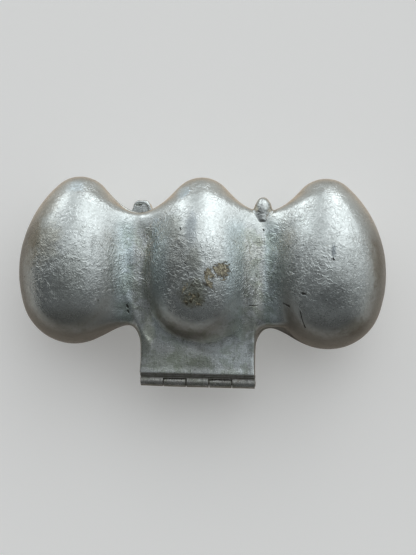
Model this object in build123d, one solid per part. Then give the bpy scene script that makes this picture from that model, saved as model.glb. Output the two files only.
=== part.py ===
from build123d import *
import os
import math

# Hinged three-egg ice cream mould, cast in pewter.
# Millimetres.  +X runs along the row of eggs, +Y points from the hinge to the
# pointed ends of the eggs, +Z points up.  The closed mould lies on the three
# domes of its back half; the origin is on the surface it lies on, in the
# middle of its plan.  The halves part on a level plane at z = Z_PART.

# ---------------------------------------------------------------- dimensions
EGG_LENGTH = 76.0          # outside, pointed end to blunt end
EGG_TOP_Y = 47.1           # pointed end of the eggs
EGG_PITCH = 56.6           # axis to axis
EGG_LEAN = 1.6             # degrees, outer eggs lean in at their pointed ends
LEAN_Y = 9.0               # where the leaning axes are one pitch apart
WALL = 2.8                 # wall of the egg shells

TAB_WIDTH = 51.0           # tab that carries the hinge
TAB_T = 6.2                # thickness of the tab, each half
TAB_END_Y = -41.4
CREASE_R = 2.2             # fillet where an egg rises from the web
WEB_EDGE_R = 1.5           # top edge of the web between the eggs
TAB_EDGE_R = 0.9           # edges of the tab

HINGE_Y = -44.8            # axis of the hinge, on the parting plane
BARREL_R = 2.4             # outside radius of the knuckles
KNUCKLES = 5
KNUCKLE_GAP = 0.30         # end play between neighbouring knuckles
PIN_R = 1.10
FIXED_CLEAR = 0.015        # pin in the knuckles that grip it
RUN_CLEAR = 0.06           # pin in the knuckles that turn on it
SWEEP_CLEAR = 0.30         # leaf strip to the other leaf's knuckles
LEAF_H = 3.6               # height of the leaf strip above the parting plane
HEAD_T = 0.45              # riveted-over end of the pin

LUG_X = 27.5               # opening lugs, one on each half
LUG_R = 4.0
LUG_TOP_Y = 38.4
LUG_TAIL_Y = 27.0

# outside outline of an egg: three arcs that run into each other
TIP_R = 14.5               # pointed end
SIDE_R = 53.3              # flank
BLUNT_R = 24.0             # blunt end

# height of the web above the parting plane, along Y: flat on the tab, arched
# between the eggs
WEB_ARCH = [
    (-31.0, 6.2), (-26.0, 6.6), (-20.0, 8.0), (-14.0, 10.0), (-7.0, 11.8),
    (0.0, 12.6), (8.0, 12.6), (16.0, 11.8), (24.0, 10.4), (30.0, 8.8),
    (35.0, 6.6), (40.0, 3.4), (44.0, 0.6),
]
# plan of the web to the right of the middle, top edge then bottom edge
WEB_TOP = [
    (8.0, 40.6), (13.0, 40.4), (16.0, 37.9), (19.0, 34.4), (22.5, 32.2),
    (28.3, 31.6), (33.6, 32.6), (37.3, 35.2), (41.0, 39.3), (46.5, 40.6),
]
WEB_NOTCH = [
    (31.0, -20.4), (35.0, -20.7), (39.0, -22.2), (46.0, -23.0),
]


# ------------------------------------------------------------------- profile
def egg_profile(wall):
    """Points of the three arcs, with the outline moved inward by wall."""
    y_tip = EGG_TOP_Y - TIP_R
    y_blunt = EGG_TOP_Y - EGG_LENGTH + BLUNT_R
    da, db = SIDE_R - TIP_R, SIDE_R - BLUNT_R
    d = y_tip - y_blunt
    a = (db * db - da * da + d * d) / (2 * d)
    yc = y_blunt + a                       # centre of the flank's arc
    xc = -math.sqrt(db * db - a * a)
    rt, rs, rb = TIP_R - wall, SIDE_R - wall, BLUNT_R - wall
    ut = (-xc / da, (y_tip - yc) / da)
    ub = (-xc / db, (y_blunt - yc) / db)
    a1 = (math.atan2(ut[1], ut[0]) + math.pi / 2) / 2
    a2 = (math.atan2(ub[1], ub[0]) - math.pi / 2) / 2
    return [
        (0, y_tip + rt),
        (rt * math.cos(a1), y_tip + rt * math.sin(a1)),
        (rt * ut[0], y_tip + rt * ut[1]),
        (xc + rs, yc),
        (rb * ub[0], y_blunt + rb * ub[1]),
        (rb * math.cos(a2), y_blunt + rb * math.sin(a2)),
        (0, y_blunt - rb),
    ]


EGG_R, EGG_WIDE_Y = egg_profile(0)[3]   # greatest outside radius, and where
Z_PART = EGG_R             # the parting plane lies one egg radius up


def egg_solid(wall):
    """Whole egg about the Y axis."""
    p = egg_profile(wall)
    face = make_face([ThreePointArc(p[0], p[1], p[2]),
                      ThreePointArc(p[2], p[3], p[4]),
                      ThreePointArc(p[4], p[5], p[6]), Line(p[6], p[0])])
    # the seam of the surface is turned straight down, away from the plane on
    # which the halves part
    return Rot(0, 90, 0) * revolve(face, axis=Axis.Y, revolution_arc=360)


def lean(shape, side):
    """Move an egg from the middle of the row to an outer place."""
    if side == 0:
        return shape
    rot = Pos(0, LEAN_Y, 0) * Rot(0, 0, side * EGG_LEAN) * Pos(0, -LEAN_Y, 0)
    return Pos(side * EGG_PITCH, 0, 0) * rot * shape


UPPER = Pos(0, 0, 50) * Box(400, 400, 100)       # everything above z = 0

# ------------------------------------------------------------- one half shell
half_w = TAB_WIDTH / 2

# arched plate, seen from the side
with BuildSketch(Plane.YZ) as side_sk:
    with BuildLine():
        arch = Spline(*WEB_ARCH, tangents=[(1, 0), (1, -0.55)])
        Polyline((WEB_ARCH[0][0], TAB_T), (TAB_END_Y, TAB_T),
                 (TAB_END_Y, 0), (WEB_ARCH[-1][0], 0), WEB_ARCH[-1])
    make_face()
arched = extrude(side_sk.sketch, amount=48, both=True)

# plan of the plate
with BuildSketch(Plane.XY) as plan_sk:
    with BuildLine():
        for sx in (1, -1):
            Spline(*[(sx * x, y) for x, y in WEB_TOP])
            Line((sx * WEB_TOP[-1][0], WEB_TOP[-1][1]),
                 (sx * WEB_NOTCH[-1][0], WEB_NOTCH[-1][1]))
            Spline(*[(sx * x, y) for x, y in reversed(WEB_NOTCH)],
                   tangents=[(-sx * 1, 0.15), (-sx * 1, 0.0)])
            RadiusArc((sx * WEB_NOTCH[0][0], WEB_NOTCH[0][1]),
                      (sx * half_w, WEB_NOTCH[0][1] - (WEB_NOTCH[0][0] - half_w)),
                      -sx * (WEB_NOTCH[0][0] - half_w))
            Line((sx * half_w, WEB_NOTCH[0][1] - (WEB_NOTCH[0][0] - half_w)),
                 (sx * half_w, TAB_END_Y))
        Line((half_w, TAB_END_Y), (-half_w, TAB_END_Y))
        Line((WEB_TOP[0][0], WEB_TOP[0][1]), (-WEB_TOP[0][0], WEB_TOP[0][1]))
    make_face()
plan = extrude(plan_sk.sketch, amount=30)

web = arched & plan

outer_egg = egg_solid(0)
inner_egg = egg_solid(WALL)

# each egg is hollowed alone, and so is the web, before they are joined
shell = web
for side in (-1, 0, 1):
    shell = shell - (lean(outer_egg, side) & UPPER)
for side in (-1, 0, 1):
    bowl = (lean(outer_egg, side) & UPPER) - lean(inner_egg, side)
    shell = shell + bowl
half = shell.solid()


def near(shape, points):
    """The edge of shape that passes nearest to each point, each edge once."""
    found = []
    for p in points:
        v = Vertex(*p)
        e = min(shape.edges(), key=lambda k: k.distance_to(v))
        if not any(e.is_same(f) for f in found):
            found.append(e)
    return found


# the edges of the web and tab, then the creases where the eggs rise from it
TOP_EDGE = [(sx * 28.3, 31.6, 8.2) for sx in (1, -1)]
TAB_SIDE = [(sx * half_w, -35.0, TAB_T) for sx in (1, -1)]
MIDDLE_CREASE = ([(sx * 12.0, -24.6, 6.8) for sx in (1, -1)]
                 + [(sx * 22.4, 2.0, 12.65) for sx in (1, -1)])
OUTER_CREASE = [(sx * 34.4, 2.0, 12.65) for sx in (1, -1)]
for place, radius in ((TOP_EDGE, WEB_EDGE_R), (TAB_SIDE, TAB_EDGE_R),
                      (MIDDLE_CREASE, CREASE_R), (OUTER_CREASE, CREASE_R)):
    half = fillet(near(half, place), radius).solid()

# ------------------------------------------------------------------ the hinge
# knuckle i runs from edge[i] to edge[i + 1] along X; the ends of the row are
# flush with the tab
edges = [-half_w + i * TAB_WIDTH / KNUCKLES for i in range(KNUCKLES + 1)]


def knuckle_span(i):
    a = edges[i] + (KNUCKLE_GAP / 2 if i > 0 else 0)
    b = edges[i + 1] - (KNUCKLE_GAP / 2 if i < KNUCKLES - 1 else 0)
    return a, b


def x_cylinder(r, a, b):
    return Pos((a + b) / 2, HINGE_Y, 0) * Rot(0, 90, 0) * Cylinder(r, b - a)


def block(x0, x1, y0, y1, z0, z1):
    return Pos((x0 + x1) / 2, (y0 + y1) / 2, (z0 + z1) / 2) * Box(
        x1 - x0, y1 - y0, z1 - z0)


def leaf(own, bore_clear):
    """Leaf above the parting plane with the knuckles listed in own."""
    strip = block(-half_w, half_w, HINGE_Y, TAB_END_Y, 0, LEAF_H)
    body = strip
    for i in range(KNUCKLES):
        a, b = knuckle_span(i)
        a0 = edges[i] - (KNUCKLE_GAP / 2 if i > 0 else 1)
        b0 = edges[i + 1] + (KNUCKLE_GAP / 2 if i < KNUCKLES - 1 else 1)
        if i in own:
            continue
        # room for the other leaf's knuckle
        body = body - block(a0, b0, HINGE_Y - 5, HINGE_Y, -1, LEAF_H + 1)
        body = body - x_cylinder(BARREL_R + SWEEP_CLEAR, a0, b0)
        body = body - block(a0, b0, HINGE_Y - 1, HINGE_Y + BARREL_R + SWEEP_CLEAR,
                            -1, BARREL_R * 0.35)
        body = body - block(a0, b0, HINGE_Y - 1, HINGE_Y + 2.2,
                            -1, LEAF_H + 1)
    for i in own:
        a, b = knuckle_span(i)
        # the web of the knuckle is only as high as the barrel
        body = body - block(a, b, HINGE_Y - 5, HINGE_Y + BARREL_R * 0.75,
                            0, LEAF_H + 1)
        body = body + x_cylinder(BARREL_R, a, b)
        body = body + block(a, b, HINGE_Y, TAB_END_Y, 0, BARREL_R * 0.62)
    body = body - x_cylinder(PIN_R + bore_clear, -half_w - 1, half_w + 1)
    return body


front_leaf_local = leaf((0, 2, 4), FIXED_CLEAR)
# the back leaf is worked out above the plane too, then turned under it
back_leaf_up = leaf((1, 3), RUN_CLEAR)

pin_shank = x_cylinder(PIN_R, -half_w, half_w)
head_l = x_cylinder(PIN_R + 0.45, -half_w - HEAD_T, -half_w)
head_r = x_cylinder(PIN_R + 0.45, half_w, half_w + HEAD_T)
pin = (pin_shank + head_l + head_r).solid()
pin = chamfer(pin.edges().filter_by(GeomType.CIRCLE).sort_by(Axis.X)[0], 0.25)
pin = chamfer(pin.edges().filter_by(GeomType.CIRCLE).sort_by(Axis.X)[-1], 0.25)

# ------------------------------------------------------------------- the lugs
# a bullet that lies along Y on the web's top edge, with straight sides down
# to the parting plane
LUG_AXIS_Z = 8.2
with BuildSketch(Plane.XY) as lug_sk:
    with BuildLine():
        Spline((0, LUG_TOP_Y), (LUG_R * 0.86, LUG_TOP_Y - 2.6),
               (LUG_R, LUG_TOP_Y - 5.2), (LUG_R * 0.66, LUG_TOP_Y - 8.6),
               (0, LUG_TAIL_Y), tangents=[(1, 0), (-0.75, -1)])
        Line((0, LUG_TAIL_Y), (0, LUG_TOP_Y))
    make_face()
half_plan = lug_sk.sketch
bullet = Rot(0, 90, 0) * revolve(half_plan, axis=Axis.Y, revolution_arc=360)
skirt = extrude(half_plan, amount=LUG_AXIS_Z)
skirt = skirt + mirror(skirt, about=Plane.YZ)
lug = Pos(LUG_X, 0, LUG_AXIS_Z) * bullet + Pos(LUG_X, 0, 0) * skirt
lug = lug & UPPER
lug = lug - half
lug = sorted(lug.solids(), key=lambda s: s.volume)[-1]

# ------------------------------------------------------------------- assembly
UP = Pos(0, 0, Z_PART)
TURN = Rot(0, 180, 0)

nodes = {
    "front_half": UP * half,
    "back_half": UP * TURN * half,
    "front_hinge_leaf": UP * front_leaf_local,
    "back_hinge_leaf": UP * TURN * back_leaf_up,
    "hinge_pin": UP * pin,
    "front_opening_lug": UP * lug,
    "back_opening_lug": UP * TURN * lug,
}

os.makedirs("parts", exist_ok=True)
for name, shape in nodes.items():
    solids = shape.solids()
    out = solids[0] if len(solids) == 1 else Compound(children=list(solids))
    export_step(out, "parts/%s.step" % name)
    bb = out.bounding_box()
    print("%-18s solids %d  vol %.1f  x %.2f..%.2f  y %.2f..%.2f  z %.2f..%.2f" % (
        name, len(solids), sum(s.volume for s in solids), bb.min.X, bb.max.X,
        bb.min.Y, bb.max.Y, bb.min.Z, bb.max.Z))
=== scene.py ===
import math

import bpy
import numpy as np
from mathutils import Matrix, Vector


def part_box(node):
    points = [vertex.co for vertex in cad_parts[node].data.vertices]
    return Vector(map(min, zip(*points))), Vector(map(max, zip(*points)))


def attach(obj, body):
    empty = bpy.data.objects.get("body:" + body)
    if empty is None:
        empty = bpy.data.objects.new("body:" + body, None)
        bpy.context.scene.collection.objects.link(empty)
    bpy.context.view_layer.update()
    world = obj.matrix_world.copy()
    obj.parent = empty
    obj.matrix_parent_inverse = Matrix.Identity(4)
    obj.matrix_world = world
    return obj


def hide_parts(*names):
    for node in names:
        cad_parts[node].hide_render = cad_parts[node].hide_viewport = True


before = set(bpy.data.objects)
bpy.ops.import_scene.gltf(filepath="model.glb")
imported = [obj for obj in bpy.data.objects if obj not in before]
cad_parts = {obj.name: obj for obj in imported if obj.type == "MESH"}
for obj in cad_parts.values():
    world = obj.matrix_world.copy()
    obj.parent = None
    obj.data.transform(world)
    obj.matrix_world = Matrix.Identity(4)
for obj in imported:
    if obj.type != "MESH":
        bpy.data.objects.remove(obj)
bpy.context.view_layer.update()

# Hinged three-egg ice cream mould in old cast pewter.
# The shapes are worked out in millimetres with z = 0 on the plane where the
# halves part; ZP lifts them to their place above the surface.
ZP = 1000.0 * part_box("front_half")[0].z
HINGE_Y = 500.0 * (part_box("hinge_pin")[0].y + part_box("hinge_pin")[1].y)


# ------------------------------------------------------------------- helpers
def smin(a, b, k):
    h = np.maximum(k - np.abs(a - b), 0.0)
    return np.minimum(a, b) - h * h / (4 * k)


def smax(a, b, k):
    h = np.maximum(k - np.abs(a - b), 0.0)
    return np.maximum(a, b) + h * h / (4 * k)


def sstep(x, a, b):
    t = np.clip((x - a) / (b - a), 0, 1)
    return t * t * (3 - 2 * t)


def lattice(seed):
    rng = np.random.RandomState(seed)
    g = rng.normal(size=(256, 3))
    g /= np.linalg.norm(g, axis=1)[:, None]
    return rng.permutation(256), g


LATTICES = {}


def noise3(x, y, z, seed):
    """Smooth gradient noise, about -0.7 to 0.7, one bump per unit."""
    if seed not in LATTICES:
        LATTICES[seed] = lattice(seed)
    perm, grad = LATTICES[seed]
    xi, yi, zi = np.floor(x), np.floor(y), np.floor(z)
    fx, fy, fz = x - xi, y - yi, z - zi
    xi, yi, zi = xi.astype(np.int64), yi.astype(np.int64), zi.astype(np.int64)
    ux, uy, uz = [f * f * f * (f * (f * 6 - 15) + 10) for f in (fx, fy, fz)]
    out = 0.0
    for dx in (0, 1):
        wx = ux if dx else 1 - ux
        hx = perm[(xi + dx) & 255]
        for dy in (0, 1):
            wy = uy if dy else 1 - uy
            hy = perm[(hx + yi + dy) & 255]
            for dz in (0, 1):
                wz = uz if dz else 1 - uz
                g = grad[perm[(hy + zi + dz) & 255]]
                out = out + wx * wy * wz * (
                    g[..., 0] * (fx - dx) + g[..., 1] * (fy - dy) + g[..., 2] * (fz - dz))
    return out


def through(points):
    """A smooth curve without overshoot through (x, value) points."""
    P = np.array(points, float)
    x, y = P[:, 0], P[:, 1]
    h = np.diff(x)
    dl = np.diff(y) / h
    m = np.zeros(len(x))
    m[0], m[-1] = dl[0], dl[-1]
    for i in range(1, len(x) - 1):
        if dl[i - 1] * dl[i] > 0:
            w1, w2 = 2 * h[i] + h[i - 1], h[i] + 2 * h[i - 1]
            m[i] = (w1 + w2) / (w1 / dl[i - 1] + w2 / dl[i])

    def f(q):
        q = np.clip(q, x[0], x[-1] - 1e-9)
        i = np.clip(np.searchsorted(x, q, side="right") - 1, 0, len(x) - 2)
        t = (q - x[i]) / h[i]
        return ((2 * t**3 - 3 * t**2 + 1) * y[i] + (t**3 - 2 * t**2 + t) * h[i] * m[i]
                + (-2 * t**3 + 3 * t**2) * y[i + 1] + (t**3 - t**2) * h[i] * m[i + 1])

    return f


# -------------------------------------------------------- shape of one casting
TIP_R, SIDE_R, BLUNT_R = 14.5, 53.3, 24.0
EGG_TOP, EGG_LEN, WALL = 47.1, 76.0, 2.8
Y_TIP, Y_BLUNT = EGG_TOP - TIP_R, EGG_TOP - EGG_LEN + BLUNT_R
_da, _db, _d = SIDE_R - TIP_R, SIDE_R - BLUNT_R, Y_TIP - Y_BLUNT
_a = (_db * _db - _da * _da + _d * _d) / (2 * _d)
SIDE_Y = Y_BLUNT + _a
SIDE_X = -math.sqrt(_db * _db - _a * _a)


def egg_field(u, v, z):
    """Signed distance to the egg: three arcs turned about its own axis."""
    rho = np.sqrt(u * u + z * z)
    px, py = rho - SIDE_X, v - SIDE_Y
    tx, ty = -SIDE_X, Y_TIP - SIDE_Y
    bx, by = -SIDE_X, Y_BLUNT - SIDE_Y
    tip = (tx * py - ty * px) > 0
    blunt = (bx * py - by * px) < 0
    return np.where(tip, np.sqrt(rho * rho + (v - Y_TIP) ** 2) - TIP_R,
                    np.where(blunt, np.sqrt(rho * rho + (v - Y_BLUNT) ** 2) - BLUNT_R,
                             np.sqrt(px * px + py * py) - SIDE_R))


# place along X, lean in degrees, size, shift along Y: left, middle, right
EGGS = [(-56.3, -1.9, 1.004, 0.05), (0.0, 0.0, 1.010, -0.17), (56.6, 2.4, 1.004, 0.0)]


def egg_at(x, y, z, place):
    x0, lean, size, shift = place
    a = math.radians(lean)
    X, Y = x - x0, y - 9.0
    u = X * math.cos(a) + Y * math.sin(a)
    v = -X * math.sin(a) + Y * math.cos(a) + 9.0 - shift
    if x0 == 0.0:
        v = v - 1.9 * sstep(-v, 2, 27)
    return egg_field(u / size, (v - 9.1) / size + 9.1, z / size) * size


ARCH = through([(-50, 6.0), (-41.4, 6.15), (-36, 6.35), (-31, 6.7), (-26, 7.3), (-20, 8.6), (-14, 10.2),
                (-7, 11.8), (0, 12.6), (8, 12.6), (16, 11.8), (24, 10.4), (30, 8.8), (36, 7.2), (60, 2)])


def plan_field(x, y):
    """The web between the eggs and the tab, seen from above."""
    left = x < 0
    top = np.where(left, 29.6, 31.0)
    low = np.where(left, -19.1, -19.7)
    strip = np.maximum(np.maximum(y - top, low - y), np.abs(x) - 46)
    tab = np.maximum(np.maximum(np.abs(x) - 25.5, -41.4 - y), y)
    return smin(strip, tab, np.where(left, 11.0, 6.8))


# faint crests on the web, drawn out from the corners of the tab
CREST_R = through([(-24, 24.4), (-10, 24.2), (10, 25.0), (31, 25.4)])
CREST_L = through([(-27.0, -22.0), (-24.3, -24.2), (-13.1, -28.5), (-6.4, -31.9), (4.8, -35.3), (18.2, -37.3),
                   (30.8, -39.8)])


def crests(x, y):
    on = sstep(y, -33, -27) * sstep(-y, -33, -27)
    low = sstep(-y, 0, 12)
    r = np.exp(-((x - CREST_R(y)) / 1.3) ** 2)
    l = np.exp(-((x - CREST_L(y)) / 1.6) ** 2)
    return (0.24 + 0.22 * low) * on * r + (0.2 + 0.22 * low) * on * l


def skin(x, y, z):
    """Outside of one casting, z measured up from the parting plane."""
    web = smax((z - ARCH(y)) * 0.97, plan_field(x, y),
               0.7 + 1.1 * sstep(y, -40.5, -33) + 2.2 * sstep(y, -27, -20))
    web = web - crests(x, y)
    top = sstep(y, 14, 30)
    low = sstep(-y, 8, 22)
    side = sstep(x, -6, 14)
    k = 3.8 + 2.4 * side + (7.3 - 2.4 * side) * top
    out = smin(web, egg_at(x, y, z, EGGS[1]), k + (3.2 + 5.3 * side - k) * low)
    k = 5.5 + 5.6 * top
    out = smin(out, egg_at(x, y, z, EGGS[0]), k + (9.2 - k) * low)
    k = 4.5 + 6.6 * top
    return smin(out, egg_at(x, y, z, EGGS[2]), k + (2.4 - k) * low)


# crinkled patches of the front casting: x, y, reach in x and y, height
CRINKLES = [(-52.5, 9.5, 9.0, 13.0, 0.17), (-60.0, -2.0, 8.0, 9.0, 0.12), (-7.5, 17.0, 2.6, 17.0, 0.20),
            (4.5, 5.5, 9.0, 8.0, 0.13), (60.0, 12.0, 10.0, 14.0, 0.11), (-3.0, -9.0, 7.0, 6.0, 0.12),
            (38.0, 8.0, 6.0, 9.0, 0.11), (-33.0, 6.0, 7.0, 9.0, 0.08)]


def dents(x, y, z, seed):
    """Uneven casting: broad waves, hammered-looking dimples, flow ripples."""
    d = 0.22 * noise3(x / 19, y / 19, z / 19, seed) + 0.16
    d = d + 0.10 * noise3(x / 6.5, y / 6.5, z / 6.5, seed + 1)
    amp = 0.036
    if seed == 11:
        for cx, cy, rx, ry, h in CRINKLES:
            amp = amp + h * np.exp(-((x - cx) / rx) ** 2 - ((y - cy) / ry) ** 2)
        # the middle egg's shoulder is pressed a little out of round
        press = np.exp(-((x - 3.5) ** 2 + (y - 21.5) ** 2) / 12.0**2)
        d = d + (0.07 * (x - 3.5) + 0.07 * (y - 21.5)) * press
    d = d * (1 - 0.5 * sstep(y, 18, 32))
    curl = noise3(x / 9, y / 9, z / 9, seed + 3) * 3.0
    d = d + amp * noise3(x / 3.3 + curl, y / 2.5 - curl, z / 2.9, seed + 2)
    return d


def cavities(x, y, z):
    c = egg_at(x, y, z, EGGS[0])
    for e in EGGS[1:]:
        c = np.minimum(c, egg_at(x, y, z, e))
    return c + WALL


def casting_field(seed):
    def f(x, y, z):
        fade = sstep(y, -41.0, -38.0)          # true and flat where the leaf sits
        s = skin(x, y, z) + dents(x, y, z, seed) * (0.25 + 0.75 * fade)
        s = smax(s, -(cavities(x, y, z) + 0.05 * noise3(x / 7, y / 7, z / 7, seed + 5)), 0.8)
        return smax(s, -z, 0.85)
    return f


# -------------------------------------------------------------------- meshing
def net(field, lo, hi, h):
    """Closed quad mesh of field = 0, one point in each cell it crosses."""
    n = [int(math.ceil((b - a) / h)) for a, b in zip(lo, hi)]
    ax = [lo[i] + h * np.arange(n[i] + 1) for i in range(3)]
    V = np.empty([m + 1 for m in n], np.float64)
    X, Y = np.meshgrid(ax[0], ax[1], indexing="ij")
    for k, zk in enumerate(ax[2]):
        V[:, :, k] = field(X, Y, np.full_like(X, zk))
    neg = V < 0
    count = np.zeros(n, np.int8)
    for i in (0, 1):
        for j in (0, 1):
            for k in (0, 1):
                count += neg[i:n[0] + i, j:n[1] + j, k:n[2] + k]
    active = (count > 0) & (count < 8)
    cells = np.argwhere(active)
    index = np.full(n, -1, np.int64)
    index[active] = np.arange(len(cells))
    total = np.zeros((len(cells), 3))
    hits = np.zeros(len(cells))
    ci, cj, ck = cells.T
    for axis in range(3):
        for p in (0, 1):
            for q in (0, 1):
                off = [p, q]
                off.insert(axis, 0)
                a = V[ci + off[0], cj + off[1], ck + off[2]]
                end = list(off)
                end[axis] = 1
                b = V[ci + end[0], cj + end[1], ck + end[2]]
                cross = (a < 0) != (b < 0)
                t = np.where(cross, a / np.where(cross, a - b, 1.0), 0.0)
                point = np.tile(np.array(off, float), (len(cells), 1))
                point[:, axis] += t
                total += point * cross[:, None]
                hits += cross
    verts = np.array(lo) + h * (cells + total / hits[:, None])
    quads = []
    for axis in range(3):
        o1, o2 = [d for d in range(3) if d != axis]
        s0 = [slice(None)] * 3
        s1 = [slice(None)] * 3
        s0[axis], s1[axis] = slice(0, n[axis]), slice(1, n[axis] + 1)
        for o in (o1, o2):
            s0[o] = s1[o] = slice(1, n[o])
        a, b = neg[tuple(s0)], neg[tuple(s1)]
        e = np.argwhere(a != b)
        flip = a[tuple(e.T)]
        base = e.copy()
        base[:, o1] += 1
        base[:, o2] += 1

        def cell(d1, d2):
            c = base.copy()
            c[:, o1] -= d1
            c[:, o2] -= d2
            return index[tuple(c.T)]
        q = np.stack([cell(1, 1), cell(0, 1), cell(0, 0), cell(1, 0)], 1)
        if axis == 1:
            flip = ~flip
        q[~flip] = q[~flip][:, ::-1]
        quads.append(q)
    return verts, np.concatenate(quads)


def slope(field, V, e):
    g = np.empty_like(V)
    for k in range(3):
        o = np.zeros(3)
        o[k] = e
        g[:, k] = (field(*(V + o).T) - field(*(V - o).T)) / (2 * e)
    return g


def settle(V, Q, field, rounds=3, e=0.04, pull=0.5):
    """Even out the net along the surface, then put its points on the surface."""
    E = np.concatenate([Q[:, [0, 1]], Q[:, [1, 2]], Q[:, [2, 3]], Q[:, [3, 0]]])
    N = len(V)
    cnt = np.bincount(E[:, 0], minlength=N) + np.bincount(E[:, 1], minlength=N)
    for r in range(rounds):
        if r:
            s = np.stack([np.bincount(E[:, 0], V[E[:, 1], c], N)
                          + np.bincount(E[:, 1], V[E[:, 0], c], N) for c in range(3)], 1)
            V = V + pull * (s / cnt[:, None] - V)
        for _ in range(2):
            g = slope(field, V, e)
            f = field(*V.T)
            step = f[:, None] * g / np.maximum((g * g).sum(1), 0.2)[:, None]
            length = np.linalg.norm(step, axis=1)
            step *= np.minimum(1.0, 0.5 / np.maximum(length, 1e-9))[:, None]
            V = V - step
    g = slope(field, V, e)
    return V, g / np.maximum(np.linalg.norm(g, axis=1), 1e-9)[:, None]


def piece(name, V, Q, N, material, body, node, turned=False):
    """Object in metres at its place; turned is the other half's position."""
    V, N = V.copy(), N.copy()
    if turned:
        for A in (V, N):
            A[:, 0] *= -1
            A[:, 2] *= -1
    V[:, 2] += ZP
    me = bpy.data.meshes.new(name)
    me.vertices.add(len(V))
    me.vertices.foreach_set("co", (V / 1000.0).astype(np.float32).ravel())
    me.loops.add(Q.size)
    me.loops.foreach_set("vertex_index", Q.astype(np.int32).ravel())
    me.polygons.add(len(Q))
    me.polygons.foreach_set("loop_start", np.arange(0, Q.size, 4, dtype=np.int32))
    me.update(calc_edges=True)
    me.validate()
    me.polygons.foreach_set("use_smooth", np.ones(len(me.polygons), bool))
    me.normals_split_custom_set_from_vertices(N.tolist())
    me.materials.append(material)
    ob = bpy.data.objects.new(name, me)
    bpy.context.scene.collection.objects.link(ob)
    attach(ob, body)
    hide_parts(node)
    return ob


# ------------------------------------------------------------------- materials
class Tree:
    """Short calls for building a node tree."""

    def __init__(self, tree):
        self.t = tree

    def new(self, kind):
        return self.t.nodes.new(kind)

    def link(self, a, b):
        self.t.links.new(a, b)

    def _set(self, sock, v):
        if hasattr(v, "links") or isinstance(v, bpy.types.NodeSocket):
            self.t.links.new(v, sock)
        else:
            sock.default_value = v

    def math(self, op, a, b=None, c=None, clamp=False):
        n = self.t.nodes.new("ShaderNodeMath")
        n.operation = op
        n.use_clamp = clamp
        for s, v in zip(n.inputs, (a, b, c)):
            if v is not None:
                self._set(s, v)
        return n.outputs[0]

    def vmath(self, op, a, b=None, scale=None):
        n = self.t.nodes.new("ShaderNodeVectorMath")
        n.operation = op
        self._set(n.inputs[0], a)
        if b is not None:
            self._set(n.inputs[1], b)
        if scale is not None:
            self._set(n.inputs["Scale"], scale)
        return n.outputs["Value"] if op in ("DOT_PRODUCT", "LENGTH", "DISTANCE") else n.outputs[0]

    def noise(self, vec, scale, detail=2.0, rough=0.5, distortion=0.0, w=None):
        n = self.t.nodes.new("ShaderNodeTexNoise")
        if w is not None:
            n.noise_dimensions = "4D"
            n.inputs["W"].default_value = w
        self.t.links.new(vec, n.inputs["Vector"])
        n.inputs["Scale"].default_value = scale
        n.inputs["Detail"].default_value = detail
        n.inputs["Roughness"].default_value = rough
        n.inputs["Distortion"].default_value = distortion
        return n.outputs[0]

    def warp(self, vec, scale, amount, w):
        """The position pushed about by noise, amount in metres."""
        n = self.t.nodes.new("ShaderNodeTexNoise")
        n.noise_dimensions = "4D"
        n.inputs["W"].default_value = w
        n.inputs["Scale"].default_value = scale
        n.inputs["Detail"].default_value = 2.0
        self.t.links.new(vec, n.inputs["Vector"])
        d = self.vmath("SUBTRACT", n.outputs["Color"], (0.5, 0.5, 0.5))
        return self.vmath("ADD", vec, self.vmath("SCALE", d, scale=amount))

    def ramp(self, v, a, b, lo=0.0, hi=1.0, smooth=True):
        n = self.t.nodes.new("ShaderNodeMapRange")
        n.interpolation_type = "SMOOTHSTEP" if smooth else "LINEAR"
        self._set(n.inputs["Value"], v)
        n.inputs["From Min"].default_value = a
        n.inputs["From Max"].default_value = b
        n.inputs["To Min"].default_value = lo
        n.inputs["To Max"].default_value = hi
        return n.outputs["Result"]

    def mix(self, fac, a, b, blend="MIX"):
        n = self.t.nodes.new("ShaderNodeMix")
        n.data_type = "RGBA"
        n.blend_type = blend
        self._set(n.inputs[0], fac)
        self._set(n.inputs[6], a if hasattr(a, "links") else (*a, 1.0))
        self._set(n.inputs[7], b if hasattr(b, "links") else (*b, 1.0))
        return n.outputs[2]

    def bump(self, height, strength, distance, normal=None):
        n = self.t.nodes.new("ShaderNodeBump")
        n.inputs["Strength"].default_value = strength
        n.inputs["Distance"].default_value = distance
        self.t.links.new(height, n.inputs["Height"])
        if normal is not None:
            self.t.links.new(normal, n.inputs["Normal"])
        return n.outputs[0]

    def ball(self, pos, centre, radii, jitter=None, amount=0.0):
        """Distance from the centre in radii of the ellipsoid, ragged when a jitter is given."""
        d = self.vmath("SUBTRACT", pos, tuple(c / 1000.0 for c in centre))
        d = self.vmath("DIVIDE", d, tuple(r / 1000.0 for r in radii))
        r = self.vmath("LENGTH", d)
        if jitter is not None:
            r = self.math("MULTIPLY_ADD", jitter, amount, r)
        return r

    def stroke(self, pos, a, b, width):
        """Distance to the segment a b, in widths."""
        pa = [c / 1000.0 for c in a]
        ba = [(q - p) / 1000.0 for p, q in zip(a, b)]
        l2 = sum(c * c for c in ba)
        d = self.vmath("SUBTRACT", pos, tuple(pa))
        t = self.math("DIVIDE", self.vmath("DOT_PRODUCT", d, tuple(ba)), l2, clamp=True)
        near = self.vmath("SCALE", tuple(ba), scale=t)
        return self.math("DIVIDE", self.vmath("LENGTH", self.vmath("SUBTRACT", d, near)), width / 1000.0)


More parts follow.
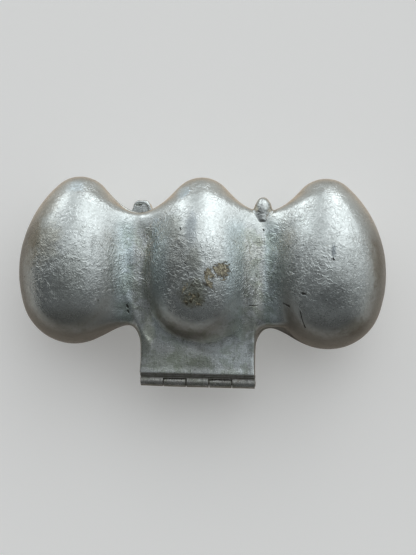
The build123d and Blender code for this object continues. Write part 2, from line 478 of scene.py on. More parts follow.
def pewter(name, seed, front=False, tone=1.0, seam_tarnish_and_reflection=1.0):
    m = bpy.data.materials.new(name)
    m.use_nodes = True
    T = Tree(m.node_tree)
    m.node_tree.nodes.clear()
    out = T.new("ShaderNodeOutputMaterial")
    bsdf = T.new("ShaderNodeBsdfPrincipled")
    T.link(bsdf.outputs[0], out.inputs[0])
    pos = T.new("ShaderNodeTexCoord").outputs["Object"]
    xyz = T.new("ShaderNodeSeparateXYZ")
    T.link(pos, xyz.inputs[0])

    # broad mottling, oxide clouds, fine grain
    broad = T.noise(pos, 55, 3, 0.55, 0.4, w=seed)
    cloud = T.noise(pos, 210, 4, 0.62, 0.8, w=seed + 1.3)
    grain = T.noise(pos, 900, 3, 0.6, 0.6, w=seed + 2.1)
    fine = T.noise(pos, 2100, 2, 0.6, 0.0, w=seed + 3.7)
    # drawn-out strokes of old polishing, across the piece
    stretched = T.vmath("MULTIPLY", pos, (380.0, 1150.0, 700.0))
    strokes = T.noise(stretched, 1.0, 3, 0.6, 1.6, w=seed + 5.0)
    # short curled lines in the skin of the casting
    curl = T.noise(pos, 340, 1.5, 0.5, 1.2, w=seed + 6.0)
    line = T.ramp(T.math("ABSOLUTE", T.math("SUBTRACT", curl, 0.5)), 0.085, 0.0)
    here = T.ramp(T.noise(pos, 130, 2, 0.5, 0.3, w=seed + 7.0), 0.40, 0.62)
    hair = T.noise(pos, 610, 2, 0.5, 1.0, w=seed + 9.0)
    hair = T.ramp(T.math("ABSOLUTE", T.math("SUBTRACT", hair, 0.5)), 0.070, 0.0)
    line = T.math("MULTIPLY", line, here)
    hair = T.math("MULTIPLY", hair, T.ramp(xyz.outputs[1], 0.014, 0.028, 1.0, 0.15))
    line = T.math("MAXIMUM", T.math("MULTIPLY", line, 0.95), T.math("MULTIPLY", hair, T.math("SUBTRACT", 0.68, here)))
    line = T.math("MULTIPLY", line, T.ramp(xyz.outputs[1], -0.022, -0.004))

    light = (0.595 * tone, 0.63 * tone, 0.615 * tone)
    mid = (0.50 * tone, 0.53 * tone, 0.515 * tone)
    dark = (0.32 * tone, 0.335 * tone, 0.32 * tone)
    col = T.mix(T.ramp(broad, 0.32, 0.68), mid, light)
    col = T.mix(T.math("MULTIPLY", T.ramp(cloud, 0.44, 0.80), 0.60), col, dark)
    col = T.mix(T.math("MULTIPLY", T.ramp(grain, 0.50, 0.78), 0.42), col, (0.2 * tone, 0.2 * tone, 0.195 * tone))
    col = T.mix(T.math("MULTIPLY", T.ramp(grain, 0.46, 0.25), 0.45), col, (0.86, 0.88, 0.88))
    col = T.mix(T.math("MULTIPLY", T.ramp(strokes, 0.52, 0.75), 0.40), col, (0.25 * tone, 0.25 * tone, 0.245 * tone))
    col = T.mix(T.math("MULTIPLY", line, 0.12), col, (0.86, 0.88, 0.88))

    # small dark pits left by the casting
    vor = T.new("ShaderNodeTexVoronoi")
    vor.feature = "F1"
    vor.inputs["Scale"].default_value = 330
    vor.inputs["Randomness"].default_value = 1.0
    T.link(pos, vor.inputs["Vector"])
    vcol = T.new("ShaderNodeSeparateColor")
    T.link(vor.outputs["Color"], vcol.inputs[0])
    some = T.ramp(vcol.outputs[0], 0.88, 1.0, smooth=False)
    pit = T.math("LESS_THAN", vor.outputs["Distance"], T.math("MULTIPLY", some, 0.20))
    pit = T.math("MULTIPLY", pit, T.ramp(broad, 0.40, 0.60))
    if front:
        # none on the bright shoulder of the middle egg
        pit = T.math("MULTIPLY", pit, T.ramp(T.ball(pos, on_skin(212, 232), (5.5, 6.5, 7.0)), 0.85, 1.1))
    col = T.mix(T.math("MULTIPLY", pit, 0.75), col, (0.06, 0.06, 0.055))

    # warm brown towards the parting line and the blunt ends: partly tarnish, partly a painted dark warm reflection
    seam = T.math("ABSOLUTE", T.math("SUBTRACT", xyz.outputs[2], ZP / 1000.0))
    seam = T.math("MULTIPLY_ADD", T.math("SUBTRACT", cloud, 0.5), 0.006, seam)
    tarnish_and_painted_reflection = T.ramp(seam, 0.0045, 0.0003)
    low = T.ramp(T.math("MULTIPLY_ADD", T.math("SUBTRACT", broad, 0.5), 0.010, xyz.outputs[1]), -0.006, -0.030)
    tarnish_and_painted_reflection = T.math("MULTIPLY", tarnish_and_painted_reflection, T.ramp(xyz.outputs[1], 0.036, 0.012, 0.25, 1.0))
    outer = T.ramp(T.math("ABSOLUTE", xyz.outputs[0]), 0.026, 0.040)
    brown = T.math("MULTIPLY", low, T.math("MULTIPLY_ADD", outer, 0.14, 0.09))
    tarnish_and_painted_reflection = T.math("ADD", T.math("MULTIPLY", tarnish_and_painted_reflection, 0.50 * seam_tarnish_and_reflection), brown, clamp=True)
    col = T.mix(tarnish_and_painted_reflection, col, (0.23, 0.165, 0.10))
    # painted shade: the lower outer ends made darker still
    col = T.mix(T.math("MULTIPLY", T.math("MULTIPLY", low, outer), 0.46), col, (0.09, 0.08, 0.065))

    # darker on the sides that slope away, coloured like brown patina: partly patina, partly painted shade standing in
    # for dark reflections; kept off the tips, which catch the light
    turn = T.new("ShaderNodeSeparateXYZ")
    T.link(T.new("ShaderNodeTexCoord").outputs["Normal"], turn.inputs[0])
    patina_and_painted_shade = T.math("MULTIPLY_ADD", T.math("SUBTRACT", cloud, 0.5), 0.30, T.math("ABSOLUTE", turn.outputs[2]))
    patina_and_painted_shade = T.math("MULTIPLY", T.ramp(patina_and_painted_shade, 0.90, 0.50), T.ramp(xyz.outputs[1], 0.036, 0.014, 0.25, 1.0))
    # less of it on the flanks that face the web, which catch the light
    apart = T.ramp(T.math("ABSOLUTE", xyz.outputs[0]), 0.040, 0.056)
    apart = T.math("MAXIMUM", apart, T.ramp(xyz.outputs[1], 0.002, -0.016))
    patina_and_painted_shade = T.math("MULTIPLY", patina_and_painted_shade, T.math("MULTIPLY_ADD", apart, 0.62, 0.38))
    col = T.mix(T.math("MULTIPLY", patina_and_painted_shade, 0.82), col, (0.115, 0.102, 0.080))

    # patchy bloom and lengthwise scratches on the web and the tab
    patch = T.ramp(T.noise(pos, 150, 5, 0.66, 0.7, w=seed + 8.0), 0.47, 0.54)
    flat = T.math("SUBTRACT", 1.0, T.ramp(T.math("ABSOLUTE", T.math("SUBTRACT", xyz.outputs[2], ZP / 1000.0)), 0.013, 0.017))
    flat = T.math("MULTIPLY", flat, T.ramp(T.math("ABSOLUTE", xyz.outputs[0]), 0.038, 0.031))
    flat = T.math("MULTIPLY", flat, T.ramp(xyz.outputs[1], 0.028, 0.018))
    bloom = T.mix(patch, (1.11, 1.11, 1.12), (0.86, 0.88, 0.83))
    col = T.mix(flat, col, T.mix(1.0, col, bloom, "MULTIPLY"))
    scored = T.noise(T.vmath("MULTIPLY", pos, (1500.0, 240.0, 700.0)), 1.0, 3, 0.6, 0.8, w=seed + 10.0)
    scored = T.math("MULTIPLY", T.ramp(scored, 0.50, 0.70), flat)
    col = T.mix(T.math("MULTIPLY", scored, 0.30), col, (0.22 * tone, 0.23 * tone, 0.23 * tone))
    # painted cool reflection along the feet of the eggs, in the grooves beside the web
    painted_groove_reflection = T.math("ABSOLUTE", T.math("SUBTRACT", T.math("ABSOLUTE", xyz.outputs[0]), 0.0245))
    painted_groove_reflection = T.math("MULTIPLY", T.ramp(painted_groove_reflection, 0.0030, 0.0060), T.ramp(painted_groove_reflection, 0.015, 0.009))
    painted_groove_reflection = T.math("MULTIPLY", painted_groove_reflection, T.ramp(xyz.outputs[1], -0.030, -0.016))
    painted_groove_reflection = T.math("MULTIPLY", painted_groove_reflection, T.ramp(xyz.outputs[1], 0.030, 0.020))
    col = T.mix(painted_groove_reflection, col, T.mix(1.0, col, (0.95, 1.02, 1.05), "MULTIPLY"))

    # darker in the step above the knuckles: soil packed in, and painted shade where the step lies in shadow
    step_soil_and_shade = T.ramp(T.math("MULTIPLY_ADD", T.math("SUBTRACT", cloud, 0.5), 0.0010, xyz.outputs[1]), -0.0409, -0.0417)
    step_soil_and_shade = T.math("MULTIPLY", step_soil_and_shade, T.ramp(xyz.outputs[1], -0.0436, -0.0427))
    col = T.mix(T.math("MULTIPLY", step_soil_and_shade, 0.58), col, (0.13, 0.12, 0.10))

    rough = T.math("MULTIPLY_ADD", cloud, 0.18, T.ramp(xyz.outputs[1], 0.004, 0.026, 0.14, 0.09))
    rough = T.math("MULTIPLY_ADD", step_soil_and_shade, 0.3, rough)
    rough = T.math("MULTIPLY_ADD", T.ramp(grain, 0.5, 0.7), 0.10, rough)
    rough = T.math("MULTIPLY_ADD", tarnish_and_painted_reflection, 0.12, rough)
    rough = T.math("MULTIPLY_ADD", patina_and_painted_shade, 0.20, rough)

    height = T.math("MULTIPLY", grain, 0.26)
    height = T.math("MULTIPLY_ADD", strokes, 0.30, height)
    height = T.math("MULTIPLY_ADD", fine, 0.06, height)
    height = T.math("MULTIPLY_ADD", line, 0.34, height)
    height = T.math("MULTIPLY_ADD", scored, 0.20, height)
    # rubbed smoother towards the pointed ends and on the tab
    height = T.math("MULTIPLY", height, T.ramp(xyz.outputs[1], 0.016, 0.030, 1.0, 0.55))
    worn = T.ramp(xyz.outputs[1], -0.022, -0.002, 0.35, 1.0)
    worn = T.math("MAXIMUM", worn, T.math("SUBTRACT", 0.75, outer))
    height = T.math("MULTIPLY", height, worn)
    height = T.math("MULTIPLY_ADD", pit, -0.7, height)

    if front:
        # stains and smudges, with painted shade and painted highlights as soft darker and lighter patches
        for c, r, depth, tint in STAINS_AND_PAINTED_LIGHT:
            b = T.ball(pos, c, r, T.math("SUBTRACT", cloud, 0.5), 1.6)
            b = T.math("MULTIPLY", T.ramp(b, 1.25, 0.35), depth)
            col = T.mix(b, col, T.mix(1.0, col, tint, "MULTIPLY"))
        ragged = T.math("SUBTRACT", T.noise(pos, 420, 4, 0.65, 0.5, w=4.4), 0.5)
        # dried brown residue on the middle egg
        torn = T.warp(T.warp(pos, 330, 0.0032, 4.1), 820, 0.0030, 4.7)
        near = None
        for c, r in RESIDUE:
            b = T.ball(torn, c, r)
            near = b if near is None else T.math("MINIMUM", near, b)
        near = T.math("MULTIPLY_ADD", T.math("SUBTRACT", grain, 0.5), 2.6, near)
        zone = None
        for c, r in SPECKLED:
            b = T.ball(torn, c, r)
            zone = b if zone is None else T.math("MINIMUM", zone, b)
        zone = T.math("MULTIPLY", T.ramp(zone, 1.25, 0.5), T.ramp(T.noise(pos, 620, 3, 0.6, 0.8, w=6.2), 0.50, 0.60))
        col = T.mix(T.math("MULTIPLY", zone, 0.85), col, (0.075, 0.062, 0.040))
        spots = T.ramp(near, 1.08, 0.92)
        inner = T.ramp(near, 1.0, 0.66)
        crust = T.mix(T.ramp(fine, 0.42, 0.60), (0.21, 0.185, 0.12), (0.66, 0.61, 0.44))
        crust = T.mix(T.ramp(grain, 0.50, 0.40), crust, (0.13, 0.11, 0.075))
        crust = T.mix(inner, (0.085, 0.072, 0.048), crust)
        col = T.mix(T.math("MULTIPLY", spots, 0.92), col, crust)
        rough = T.math("MULTIPLY_ADD", T.math("MAXIMUM", spots, zone), 0.25, rough)
        height = T.math("MULTIPLY_ADD", spots, 0.7, height)
        height = T.math("MULTIPLY_ADD", T.math("MULTIPLY", inner, grain), 0.9, height)
        # scratches, cracks and black pits
        marks = None
        for a, b, wd in MARKS:
            s = T.stroke(pos, a, b, wd)
            s = T.math("MULTIPLY_ADD", ragged, 1.5, s)
            s = T.ramp(s, 1.0, 0.45)
            marks = s if marks is None else T.math("MAXIMUM", marks, s)
        col = T.mix(T.math("MULTIPLY", marks, 0.92), col, (0.035, 0.033, 0.03))
        height = T.math("MULTIPLY_ADD", marks, -0.6, height)
        rough = T.math("MULTIPLY_ADD", marks, 0.4, rough)

    T.link(col, bsdf.inputs["Base Color"])
    T.link(rough, bsdf.inputs["Roughness"])
    dull = T.math("MAXIMUM", T.math("MULTIPLY", tarnish_and_painted_reflection, 0.35), T.math("MULTIPLY", patina_and_painted_shade, 0.62))
    if front:
        dull = T.math("MAXIMUM", dull, T.math("MULTIPLY", spots, 0.9))
    metal = T.math("SUBTRACT", 1.0, dull)
    T.link(metal, bsdf.inputs["Metallic"])
    T.link(T.bump(height, 0.9, 0.00042), bsdf.inputs["Normal"])
    bsdf.inputs["Specular Tint"].default_value = (1.0, 0.80, 0.62, 1.0)
    return m


def at_pixel(px, py, z):
    """Point of the object, in millimetres from the parting plane's middle,
    for a place in the picture, once its height z is known."""
    dx, dy = (px - 202.5) * 0.45, (282 - py) * 0.45
    c, s = math.cos(math.radians(1.0)), math.sin(math.radians(1.0))
    x, y = dx * c - dy * s + 1.0, dx * s + dy * c
    k = 1.0 - z / 420.0
    # the camera stands a little towards +X and -Y
    return (3.5 + (x - 3.5) * k + z * 0.079, 2.0 + (y - 2.0) * k - z * 0.076)


def on_skin(px, py):
    """The point of the front casting's outside seen at a pixel, with z above
    the surface the mould lies on."""
    z = 20.0
    for _ in range(12):
        x, y = at_pixel(px, py, z)
        zs = np.linspace(0, 27, 541)
        f = skin(np.full_like(zs, x), np.full_like(zs, y), zs)
        inside = np.where(f < 0)[0]
        z = 0.5 * z + 0.5 * (zs[inside[-1]] if len(inside) else 0.0)
    return (x, y, z + ZP)


RESIDUE = []
for px, py, rx, ry in ((223.5, 270.3, 3.7, 3.0), (221.0, 266.5, 2.4, 1.8), (217.0, 268.6, 1.6, 1.5),
                       (209.0, 272.3, 1.6, 1.3),
                       (207.3, 277.0, 0.9, 2.2), (209.0, 281.0, 0.9, 1.5), (211.3, 285.5, 0.8, 1.2),
                       (212.3, 276.0, 0.7, 0.9), (224.5, 279.6, 1.0, 0.45), (184.0, 289.0, 0.5, 1.5),
                       (187.0, 285.0, 0.4, 0.8), (193.0, 297.0, 0.7, 0.8), (186.5, 301.5, 0.8, 0.6),
                       (198.0, 303.0, 0.8, 0.7), (189.0, 294.0, 0.5, 0.8)):
    RESIDUE.append((on_skin(px, py), (rx, ry, 3.0)))
SPECKLED = []
for px, py, rx, ry in ((195, 300, 6.6, 4.6), (190, 289, 4.6, 4.8), (208, 279, 2.4, 4.8), (211, 292, 2.0, 2.8)):
    SPECKLED.append((on_skin(px, py), (rx, ry, 5.0)))
# soft patches on the front casting at places in the picture: x, y, reach in x and y, depth, colour factor. Some are
# real stains and smudges; the broad ones are painted shade where the factor is below 1 and painted highlights where
# it is above 1
STAINS_AND_PAINTED_LIGHT = []
for px, py, rx, ry, depth, tint in ((172, 227, 4.5, 8.5, 0.9, (0.62, 0.62, 0.60)),
                                    (193, 291, 6.2, 6.6, 0.9, (0.60, 0.59, 0.51)),
                                    (193, 301, 5.0, 3.4, 0.9, (0.74, 0.70, 0.58)),
                                    (194, 262, 3.4, 7.5, 0.8, (0.55, 0.54, 0.50)),
                                    (191, 226, 3.0, 9.5, 0.9, (0.62, 0.64, 0.67)),
                                    (333, 251, 1.2, 3.2, 0.9, (0.42, 0.44, 0.47)),
                                    (331, 296, 8.0, 6.5, 0.8, (0.62, 0.62, 0.62)),
                                    (255, 251, 4.2, 7.0, 0.8, (0.66, 0.65, 0.61)),
                                    (228, 320, 8.0, 4.0, 0.7, (0.72, 0.72, 0.73)),
                                    (29, 236, 5.0, 15.0, 0.9, (0.66, 0.62, 0.56)),
                                    (40, 240, 9.0, 12.0, 0.9, (0.80, 0.76, 0.69)),
                                    (376, 262, 4.0, 12.0, 0.9, (0.72, 0.68, 0.62)),
                                    (70, 322, 14.0, 7.0, 0.9, (0.84, 0.83, 0.80)),
                                    (354, 328, 9.0, 6.0, 1.0, (0.60, 0.58, 0.54)),
                                    (176, 361, 15.0, 4.5, 0.6, (0.84, 0.88, 0.76)),
                                    (120, 305, 4.0, 4.0, 0.5, (0.70, 0.70, 0.66)),
                                    (279, 227, 8.0, 8.0, 1.0, (1.38, 1.38, 1.36)),
                                    (310, 262, 5.0, 4.5, 0.8, (1.18, 1.18, 1.18)),
                                    (258, 296, 2.6, 8.0, 1.0, (1.36, 1.34, 1.30)),
                                    (270, 281, 1.8, 5.0, 0.9, (0.70, 0.70, 0.68)),
                                    (150, 329, 2.6, 9.0, 1.0, (1.45, 1.43, 1.38)),
                                    (243, 329, 5.0, 5.0, 1.0, (1.34, 1.34, 1.32)),
                                    (130, 259, 3.2, 8.0, 0.9, (0.78, 0.79, 0.80)),
                                    (155, 236, 3.2, 9.0, 0.9, (1.14, 1.20, 1.28)),
                                    (46, 206, 6.0, 6.0, 0.8, (0.82, 0.79, 0.75)),
                                    (72, 184, 5.0, 3.5, 0.9, (1.18, 1.26, 1.34)),
                                    (181, 191, 4.5, 4.0, 1.0, (1.16, 1.28, 1.40)),
                                    (114, 199, 4.5, 4.5, 0.9, (1.14, 1.22, 1.30)),
                                    (200, 364, 8.0, 4.0, 0.9, (0.78, 0.78, 0.76)),
                                    (176, 341, 9.0, 3.0, 0.8, (0.88, 0.90, 0.92)),
                                    (238, 352, 13.0, 10.0, 1.0, (1.34, 1.38, 1.42)),
                                    (177, 256, 7.5, 17.0, 0.9, (0.80, 0.79, 0.77)),
                                    (64, 277, 10.0, 14.0, 0.9, (0.85, 0.85, 0.83)),
                                    (337, 298, 9.0, 10.0, 0.9, (0.83, 0.83, 0.83)),
                                    (301, 228, 6.5, 9.0, 0.9, (1.17, 1.18, 1.18)),
                                    (218, 343, 11.0, 3.6, 0.9, (1.30, 1.31, 1.32)),
                                    (271, 300, 2.4, 9.0, 0.9, (0.80, 0.80, 0.79))):
    STAINS_AND_PAINTED_LIGHT.append((on_skin(px, py), (rx, ry, 7.0), depth, tint))
MARKS = []
for x0, y0, x1, y1, wd in ((126.6, 305.5, 127.4, 307.5, 0.62), (127.6, 311.0, 128.2, 312.5, 0.60),
                           (283.0, 303.6, 288.5, 306.2, 0.85), (299.6, 311.0, 304.6, 327.0, 0.42),
                           (302.0, 293.6, 304.8, 294.2, 0.85), (273.5, 235.2, 281.0, 235.4, 0.34),
                           (250.0, 305.4, 257.5, 305.9, 0.36), (332.6, 258.5, 333.2, 260.0, 0.5),
                           (263.2, 229.5, 263.8, 230.5, 0.5), (179.6, 227.5, 180.6, 229.5, 0.36),
                           (180.8, 235.5, 181.8, 237.5, 0.32), (179.6, 251.0, 180.4, 253.5, 0.42),
                           (184.0, 262.5, 185.8, 264.0, 0.34), (187.0, 272.0, 188.2, 274.0, 0.32),
                           (243.8, 244.0, 245.2, 247.0, 0.34), (244.0, 267.0, 244.6, 269.0, 0.30)):
    MARKS.append((on_skin(x0, y0), on_skin(x1, y1), wd))

PEWTER_FRONT = pewter("pewter_front", 1.0, front=True)
PEWTER_BACK = pewter("pewter_back", 9.0)
PEWTER_HINGE = pewter("pewter_hinge", 17.0, tone=0.62, seam_tarnish_and_reflection=0.5)
PEWTER_LUG = pewter("pewter_lug", 23.0, seam_tarnish_and_reflection=0.0)
PIN_METAL = pewter("pin_metal", 31.0, tone=0.8)

# ----------------------------------------------------------------- the halves
CELL = 0.76
base_V, base_Q = net(casting_field(11), (-84.4, -42.6, -0.9), (84.4, 48.6, 27.4), CELL)
V, N = settle(base_V, base_Q, casting_field(11))
front_shell = piece("front_shell", V, base_Q, N, PEWTER_FRONT, "front", "front_half")
V, N = settle(base_V, base_Q, casting_field(47))
back_shell = piece("back_shell", V, base_Q, N, PEWTER_BACK, "back", "back_half", turned=True)
print("shell quads", len(base_Q))

# ------------------------------------------------------------------- the hinge
TAB_HALF, BARREL, BORE, KNUCKLE = 25.5, 2.4, 1.14, 10.2


def box_field(x, y, z, lo, hi, r):
    c = [(a + b) / 2 for a, b in zip(lo, hi)]
    s = [(b - a) / 2 - r for a, b in zip(lo, hi)]
    q = [np.abs(p - cc) - ss for p, cc, ss in zip((x, y, z), c, s)]
    outside = np.sqrt(sum(np.maximum(v, 0) ** 2 for v in q))
    return outside + np.minimum(np.maximum(q[0], np.maximum(q[1], q[2])), 0) - r


def leaf_field(own, seed, turn):
    def f(x, y, z):
        r = np.sqrt((y - HINGE_Y) ** 2 + z * z)
        wear = 0.03 + 0.20 * sstep(-x * turn, 8, 26)      # one end of the row is more worn
        strip = box_field(x, y, z, (-TAB_HALF, -42.55, 0.0), (TAB_HALF, -40.9, 3.7), 0.35)
        body = strip
        for i in range(5):
            a = -TAB_HALF + i * KNUCKLE + (0.11 if i > 0 else 0.0)
            b = -TAB_HALF + (i + 1) * KNUCKLE - (0.11 if i < 4 else 0.0)
            mid, half = (a + b) / 2, (b - a) / 2
            if i in own:
                side = np.abs(x - mid) - half
                barrel = smax(r - BARREL + wear, side, 0.25)
                neck = smax(np.maximum(np.abs(y + 43.1) - 1.9, np.maximum(z - 2.25 + wear, -z)), side, 0.25)
                body = smin(body, smin(barrel, neck, 0.3), 0.35)
        for i in range(5):
            if i not in own:
                mid, half = -TAB_HALF + (i + 0.5) * KNUCKLE, KNUCKLE / 2
                lip = np.maximum(np.maximum(np.abs(y + 43.1) - 1.9, np.maximum(z - 2.2, -z)), np.abs(x - mid) - half)
                body = smin(body, lip, 0.35)
        for i in range(5):
            if i not in own:
                a = -TAB_HALF + i * KNUCKLE - (0.11 if i > 0 else 2.0)
                b = -TAB_HALF + (i + 1) * KNUCKLE + (0.11 if i < 4 else 2.0)
                mid, half = (a + b) / 2, (b - a) / 2
                side = np.abs(x - mid) - half
                room = np.maximum(np.minimum(r - 2.52, np.maximum(np.abs(y + 44.7) - 2.40, z - 0.9)), side)
                body = smax(body, -room, 0.15)
        body = smax(body, -(r - BORE), 0.15)
        body = body + 0.05 * noise3(x / 3.1, y / 2.2, z / 2.2, seed) + 0.02 * noise3(x, y, z, seed + 1)
        return body
    return f


h_lo, h_hi = (-26.1, -47.8, -3.0), (26.1, -40.4, 4.2)
for label, own, body, node, turned, seed in (
        ("front_leaf", (0, 2, 4), "front", "front_hinge_leaf", False, 71),
        ("back_leaf", (1, 3), "back", "back_hinge_leaf", True, 83)):
    F = leaf_field(own, seed, -1.0 if turned else 1.0)
    V, Q = net(F, h_lo, h_hi, 0.30)
    V, N = settle(V, Q, F, rounds=3, e=0.03, pull=0.35)
    piece(label, V, Q, N, PEWTER_HINGE, body, node, turned=turned)
    print(label, "quads", len(Q))

# --------------------------------------------------------------------- the pin
prof = [(-25.80, 0.0), (-25.79, 0.55), (-25.74, 0.98), (-25.66, 1.32), (-25.58, 1.46), (-25.51, 1.42),
        (-25.49, 1.10), (-25.2, 1.095), (-15.3, 1.095), (-5.1, 1.095), (5.1, 1.095), (15.3, 1.095),
        (25.2, 1.095), (25.49, 1.10), (25.51, 1.44), (25.58, 1.48), (25.67, 1.30), (25.75, 0.92),
        (25.79, 0.50), (25.81, 0.0)]
SEG = 48
verts, norms = [], []
for j, (px_, r) in enumerate(prof):
    if r == 0.0:
        continue
    for s in range(SEG):
        a = 2 * math.pi * s / SEG
        rr = r
        if abs(px_) > 25.5:
            rr = r * (1 + 0.035 * math.sin(3 * a + px_) + 0.02 * math.sin(7 * a))
        verts.append((px_, HINGE_Y + rr * math.cos(a), rr * math.sin(a)))
rings = len(verts) // SEG
faces = []
for j in range(rings - 1):
    for s in range(SEG):
        t = (s + 1) % SEG
        faces.append((j * SEG + s, j * SEG + t, (j + 1) * SEG + t, (j + 1) * SEG + s))
cap0, cap1 = len(verts), len(verts) + 1
verts += [(prof[0][0], HINGE_Y, 0), (prof[-1][0], HINGE_Y, 0)]
for s in range(SEG):
    t = (s + 1) % SEG
    faces.append((cap0, t, s))
    faces.append((cap1, (rings - 1) * SEG + s, (rings - 1) * SEG + t))
pm = bpy.data.meshes.new("riveted_pin")
pm.from_pydata([(x / 1000, y / 1000, (z + ZP) / 1000) for x, y, z in verts], [], faces)
pm.update()
pm.validate()
pm.polygons.foreach_set("use_smooth", np.ones(len(pm.polygons), bool))
pm.materials.append(PIN_METAL)
pin = bpy.data.objects.new("riveted_pin", pm)
bpy.context.scene.collection.objects.link(pin)
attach(pin, "front")
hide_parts("hinge_pin")

# -------------------------------------------------------------------- the lugs
LUG_X, LUG_Z = 27.5, 8.2


def bullet(x, y, z):
    """Front lug: an ogive along Y whose sides run straight down to z = 0."""
    r, wide, top = 3.92, 31.4, 37.5
    X, Zr = x - 27.8, np.maximum(z - 7.0, 0.0)
    t = (y - wide) / (top - wide)
    up = (np.sqrt((X * X + Zr * Zr) / r**2 + t * t) - 1) * r
    s = np.maximum(wide - y, 0.0) / 5.5
    w = r * np.maximum(1 - s**1.7, 0.08)
    tall = r * (1 - 0.10 * np.minimum(s, 1.5) ** 2)
    down = (np.sqrt((X / w) ** 2 + (Zr / tall) ** 2) - 1) * w
    return smax(np.where(y > wide, up, down) * 0.86, 27.0 - y, 0.5)


def stub(x, y, z):
    """Back lug: blunter, with straight flanks."""
    X, Zr = x - 27.5, np.maximum(z - LUG_Z, 0.0)
    rho = np.sqrt(X * X + Zr * Zr)
    return blunt(rho, y - 30.0, 4.15, 7.05)


def blunt(u, v, a, b):
    v = np.maximum(v, 0.0)
    q = (np.abs(u) / a) ** 3.4 + (v / b) ** 3.4
    return (np.maximum(q, 1e-9) ** (1 / 3.4) - 1) * a * 0.9


def lug_field(seed, back):
    def f(x, y, z):
        sk = skin(x, y, z)
        b = stub(x, y, z) if back else bullet(x, y, z)
        b = b + 0.10 * noise3(x / 3.4, y / 3.4, z / 3.4, seed)
        b = b + (0.05 if back else 0.13) * noise3(x / 1.5, y / 1.5, z / 1.5, seed + 1)
        g = smin(b, sk + 0.25, 1.7)
        g = smax(g, b - 1.5, 0.6)
        g = smax(g, -(sk + 0.7), 0.2)
        if back:
            # the flat side lies a little lower inside a lip along two edges
            tray = np.maximum(blunt(x - 28.5, y - 29.2, 4.4, 5.95), z - 0.4)
            nick = np.sqrt(((x - 28.9) / 1.6) ** 2 + ((y - 34.75) / 0.42) ** 2 + (z / 1.5) ** 2) - 1
            g = smax(g, -tray, 0.25)
            g = smax(g, -nick * 0.6, 0.2)
            return smax(g, -z, 0.3 + 0.9 * sstep(y, 34.0, 36.0))
        return smax(g, -z, 0.5)
    return f


l_lo, l_hi = (21.5, 23.5, -0.6), (33.5, 39.3, 13.2)
for label, body, node, turned, seed in (("front_lug", "front", "front_opening_lug", False, 101),
                                        ("back_lug", "back", "back_opening_lug", True, 113)):
    F = lug_field(seed, turned)
    V, Q = net(F, l_lo, l_hi, 0.33)
    V, N = settle(V, Q, F, rounds=3, e=0.04, pull=0.4)
    piece(label, V, Q, N, PEWTER_LUG, body, node, turned=turned)
    print(label, "quads", len(Q))

# ----------------------------------------------------------------------- stage
fm = bpy.data.meshes.new("floor")
fm.from_pydata([(-3, -3, -0.00003), (3, -3, -0.00003), (3, 3, -0.00003), (-3, 3, -0.00003)], [], [(0, 1, 2, 3)])
floor = bpy.data.objects.new("floor", fm)
bpy.context.scene.collection.objects.link(floor)
mat = bpy.data.materials.new("pale_floor")
mat.use_nodes = True
G = Tree(mat.node_tree)
mat.node_tree.nodes.clear()
gout = G.new("ShaderNodeOutputMaterial")
seen = G.new("ShaderNodeBsdfDiffuse")
seen.inputs["Color"].default_value = (0.86, 0.85, 0.83, 1)
lift = G.new("ShaderNodeEmission")
lift.inputs["Color"].default_value = (0.18, 0.177, 0.172, 1)
add1 = G.new("ShaderNodeAddShader")
G.link(seen.outputs[0], add1.inputs[0])
G.link(lift.outputs[0], add1.inputs[1])
G.link(add1.outputs[0], gout.inputs[0])
fm.materials.append(mat)

# ---------------------------------------------------------------------- lights
world = bpy.data.worlds.new("studio")
bpy.context.scene.world = world
world.use_nodes = True
W = Tree(world.node_tree)
world.node_tree.nodes.clear()
wout = W.new("ShaderNodeOutputWorld")
tc = W.new("ShaderNodeTexCoord").outputs["Generated"]
dirn = W.vmath("NORMALIZE", tc)


def toward(az, el):
    a, e = math.radians(az), math.radians(el)
    return (math.cos(e) * math.cos(a), math.cos(e) * math.sin(a), math.sin(e))


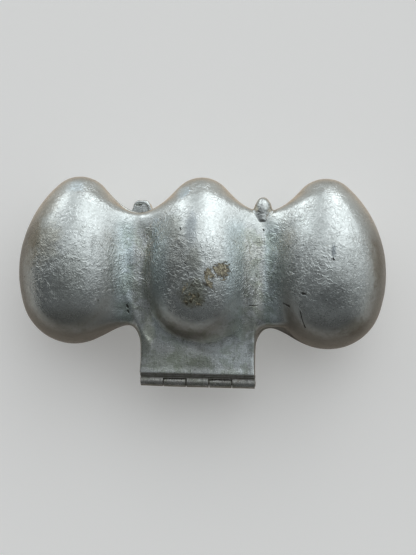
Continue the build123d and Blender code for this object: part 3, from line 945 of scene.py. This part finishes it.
GAIN = 1.9
TINT = (0.96, 1.0, 1.03)
LOBES = [  # azimuth, elevation, sharpness, brightness of each soft light
    (84, 90, 1, 0.10),
    (121, 4, 30, 0.90),
    (133, 21, 13, 0.48),
    (71, -6, 24, 1.50),
    (80, 21, 10, 0.58),
    (64, 36, 26, 0.45),
    (38, 16, 17, 0.52),
    (97, 63, 20, 0.38),
    (27, 51, 12, 0.38),
    (8, 10, 7, 0.19),
]
sky = None
for az, el, k, bright in LOBES:
    d = W.vmath("DOT_PRODUCT", dirn, toward(az, el))
    e = W.math("EXPONENT", W.math("MULTIPLY", W.math("SUBTRACT", d, 1.0), k))
    v = W.vmath("SCALE", tuple(c * GAIN * bright for c in TINT), scale=e)
    sky = v if sky is None else W.vmath("ADD", sky, v)
sky = W.vmath("ADD", sky, (0.018, 0.018, 0.018))
bg = W.new("ShaderNodeBackground")
W.link(sky, bg.inputs["Color"])
bg.inputs["Strength"].default_value = 1.0
plain = W.new("ShaderNodeBackground")
plain.inputs["Color"].default_value = (0.63, 0.64, 0.64, 1)
pick_sky = W.new("ShaderNodeMixShader")
W.link(W.new("ShaderNodeLightPath").outputs["Is Camera Ray"], pick_sky.inputs[0])
W.link(bg.outputs[0], pick_sky.inputs[1])
W.link(plain.outputs[0], pick_sky.inputs[2])
W.link(pick_sky.outputs[0], wout.inputs["Surface"])
world.cycles.sampling_method = "MANUAL"
world.cycles.sample_map_resolution = 512

# ---------------------------------------------------------------------- camera
cam = bpy.data.cameras.new("camera")
eye = bpy.data.objects.new("camera", cam)
bpy.context.scene.collection.objects.link(eye)
DIST = 420.0
target = Vector((3.5, 2.04, ZP))
f = Vector((math.tan(math.radians(4.5)), math.tan(math.radians(-4.3)), 1.0)).normalized()
right = Vector((math.cos(math.radians(1.0)), math.sin(math.radians(1.0)), 0.0))
right = (right - f * right.dot(f)).normalized()
up = f.cross(right)
place = (target + f * DIST) / 1000.0
M = Matrix((right, up, f)).transposed().to_4x4()
M.translation = place
eye.matrix_world = M
cam.sensor_fit = "AUTO"
cam.sensor_width = 36.0
cam.lens = 36.0 * DIST / 249.75
cam.clip_start, cam.clip_end = 0.01, 20
bpy.context.scene.camera = eye
bpy.context.scene.view_settings.view_transform = "Standard"
